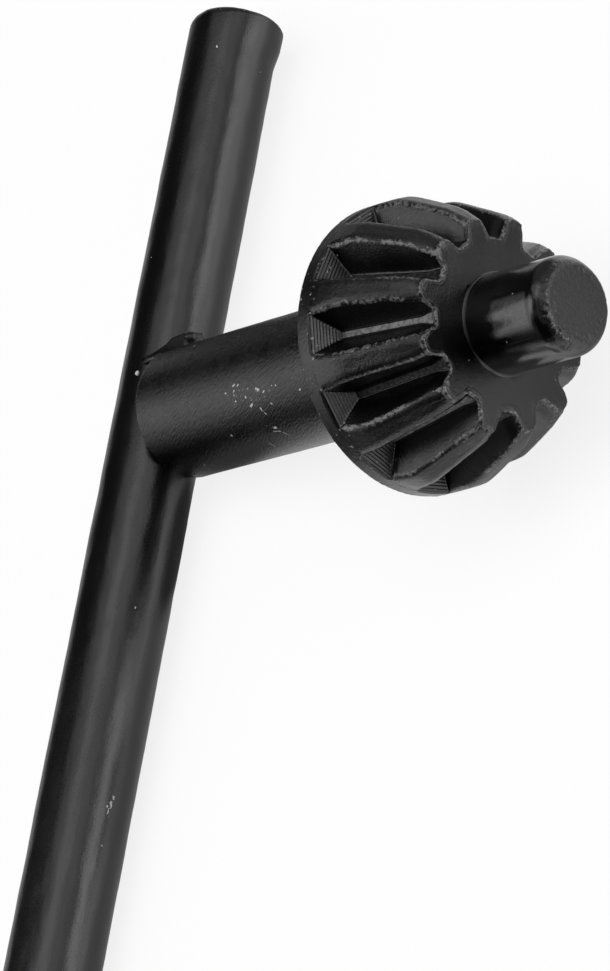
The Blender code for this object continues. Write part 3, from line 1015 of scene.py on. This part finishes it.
def body_look(name):
    """Turned and pressed body: marks of the shank and pilot, burnished floors of the tooth spaces with a
    painted line of shade along their fillets.
    """
    steel = Steel(name)
    along, sideways, up = steel.parts(steel.place)
    sheet, around = steel.unrolled(along, up, sideways, SHANK_RADIUS)
    on_shank = steel.fall(along, BACK - SHANK_FADE, BACK)
    on_pilot = steel.band(along, *PILOT_STRETCH)
    chips = body_chips(steel, sheet, along, on_shank)
    rubbed = pilot_wear(steel, sheet, along, around, on_pilot)

    colour, metal = steel.base()
    colour = steel.mix(rubbed, colour, RUBBED_STEEL)
    metal = steel.larger(metal, steel.times(rubbed, 0.9))
    # Burnished tooth floors. The metal share rises before the burnished colour, which paints a thin
    # near-black line of shade along the fillet at each floor's edge.
    burnished = steel.mix(steel.span(steel.coarse, 0.4, 0.6), BURNISHED_DARK, BURNISHED_LIGHT)
    colour = steel.mix(steel.span(steel.floor, 0.75, 0.98), colour, burnished)
    metal = steel.larger(metal, steel.span(steel.floor, 0.6, 0.75))

    smoother = steel.plus(steel.times(on_pilot, 0.05), steel.span(along, *SMOOTH_PINION, 0.0, 0.05))
    roughness = steel.minus(steel.roughness(BODY_ROUGHNESS), smoother)

    toothed = steel.times(steel.band(along, *TOOTHED_STRETCH), steel.minus(1.0, steel.worn))
    fine_share = steel.plus(steel.times(toothed, 2.0), 0.2)
    coarse_share = steel.plus(steel.times(toothed, 0.8), 0.1)
    strokes = steel.strokes(sheet, 0.5, 0.12, 2.0, 0.6)
    height = steel.relief(fine_share, coarse_share, strokes, steel.times(on_shank, 4.6))
    return steel.finish(colour, metal, chips, roughness, height)


# Stage


def painted_floor_glow(nodes):
    """Strength of the floor's glow in the steel, painted light of a lit floor with painted shadows of the
    key, by place in the world.
    """
    position = nodes.add("ShaderNodeNewGeometry").outputs["Position"]
    x, y, _ = nodes.parts(position)
    glow = nodes.minus(nodes.span(x, *MIRROR_LEFT), nodes.span(x, *MIRROR_STEP))
    glow = nodes.plus(glow, nodes.span(x, *MIRROR_RIGHT))
    glow = nodes.times(glow, nodes.span(y, *MIRROR_NEAR))
    # Painted shadows of the key darken the glow.
    for centre, turn, size, fall in PAINTED_FLOOR_SHADOWS:
        inside = nodes.length(nodes.mapped(position, place=centre, turn=turn, size=size))
        glow = nodes.times(glow, nodes.span(inside, *fall))
    return glow


def pale_floor():
    """White to the camera with the key's soft shadow; in the steel, a painted glow of lit floor with painted
    shadows of the key.
    """
    material = bpy.data.materials.new("pale_floor")
    material.use_nodes = True
    nodes = Nodes(material.node_tree)
    nodes.tree.nodes.remove(nodes.tree.nodes["Principled BSDF"])
    path = nodes.add("ShaderNodeLightPath")
    diffuse = nodes.add("ShaderNodeBsdfDiffuse")
    diffuse.inputs["Color"].default_value = (FLOOR_COLOUR, FLOOR_COLOUR, FLOOR_COLOUR, 1.0)
    lift = nodes.add("ShaderNodeEmission")
    nodes.link(nodes.times(path.outputs["Is Camera Ray"], FLOOR_LIFT), lift.inputs["Strength"])
    seen = nodes.add("ShaderNodeAddShader")
    nodes.link(diffuse.outputs[0], seen.inputs[0])
    nodes.link(lift.outputs[0], seen.inputs[1])
    # Painted light and shade of a lit floor, seen only in the steel.
    painted_floor_light = nodes.add("ShaderNodeEmission")
    nodes.link(painted_floor_glow(nodes), painted_floor_light.inputs["Strength"])
    either = nodes.add("ShaderNodeMixShader")
    nodes.link(path.outputs["Is Glossy Ray"], either.inputs[0])
    nodes.link(seen.outputs[0], either.inputs[1])
    nodes.link(painted_floor_light.outputs[0], either.inputs[2])
    nodes.link(either.outputs[0], nodes.tree.nodes["Material Output"].inputs["Surface"])
    return material


def make_floor():
    mesh = bpy.data.meshes.new("floor")
    size = FLOOR_HALF_SIZE
    corners = [(-size, -size, 0), (size, -size, 0), (size, size, 0), (-size, size, 0)]
    mesh.from_pydata(corners, [], [(0, 1, 2, 3)])
    floor = bpy.data.objects.new("floor", mesh)
    bpy.context.scene.collection.objects.link(floor)
    mesh.materials.append(pale_floor())


def make_world():
    """Studio light: soft panels in a dim room, white where the camera sees it."""
    world = bpy.data.worlds.new("studio")
    world.use_nodes = True
    bpy.context.scene.world = world
    nodes = Nodes(world.node_tree)
    x, y, z = nodes.parts(nodes.add("ShaderNodeTexCoord").outputs["Generated"])
    azimuth = nodes.times(nodes.math("ARCTAN2", y, x), math.degrees(1.0))
    elevation = nodes.times(nodes.math("ARCSINE", z), math.degrees(1.0))
    light = WORLD_DIM
    for centre, half_width, low, high, soft, strength in WORLD_PANELS:
        turned = nodes.math("WRAP", nodes.minus(azimuth, centre), 180.0)
        turned.node.inputs[2].default_value = -180.0
        beside = nodes.fall(nodes.math("ABSOLUTE", turned), half_width, half_width + soft)
        panel = nodes.times(beside, nodes.band(elevation, low - soft, low, high, high + soft))
        light = nodes.plus(nodes.times(panel, strength), light)
    camera_ray = nodes.add("ShaderNodeLightPath").outputs["Is Camera Ray"]
    light = nodes.plus(nodes.times(light, nodes.minus(1.0, camera_ray)), camera_ray)
    background = world.node_tree.nodes["Background"]
    background.inputs["Color"].default_value = (1.0, 1.0, 1.0, 1.0)
    nodes.link(light, background.inputs["Strength"])


def make_lamp():
    """One soft square lamp overhead, aimed at the middle; the steel doesn't mirror it."""
    data = bpy.data.lights.new("soft_top", "AREA")
    data.shape = "SQUARE"
    data.size = LAMP_SIZE
    data.energy = LAMP_POWER
    lamp = bpy.data.objects.new("soft_top", data)
    lamp.location = LAMP_PLACE
    lamp.rotation_euler = (-Vector(LAMP_PLACE)).to_track_quat("-Z", "Y").to_euler()
    lamp.visible_glossy = False
    bpy.context.scene.collection.objects.link(lamp)


def make_camera():
    data = bpy.data.cameras.new("camera")
    data.sensor_fit = "HORIZONTAL"
    data.sensor_width = SENSOR_WIDTH
    data.lens = FOCAL_PIXELS / PHOTO_WIDTH_PIXELS * SENSOR_WIDTH
    data.clip_start = CAMERA_CLIP_START
    camera = bpy.data.objects.new("camera", data)
    up = -CAMERA_DOWN
    turn = KEY.to_3x3() * (1 / MM)
    axes = [(turn @ axis).normalized() for axis in (CAMERA_RIGHT, up, CAMERA_RIGHT.cross(up))]
    camera.matrix_world = Matrix.Translation(KEY @ CAMERA_PLACE) @ Matrix(axes).transposed().to_4x4()
    bpy.context.scene.collection.objects.link(camera)
    bpy.context.scene.camera = camera


bar = make_cross_bar(bar_look("blackened_bar_look"))
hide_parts("cross_bar")
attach(bar, "root")
body = make_key_body(body_look("blackened_body_look"))
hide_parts("key_body")
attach(body, "root")

make_floor()
make_world()
make_lamp()
make_camera()
bpy.context.scene.view_settings.view_transform = "Standard"
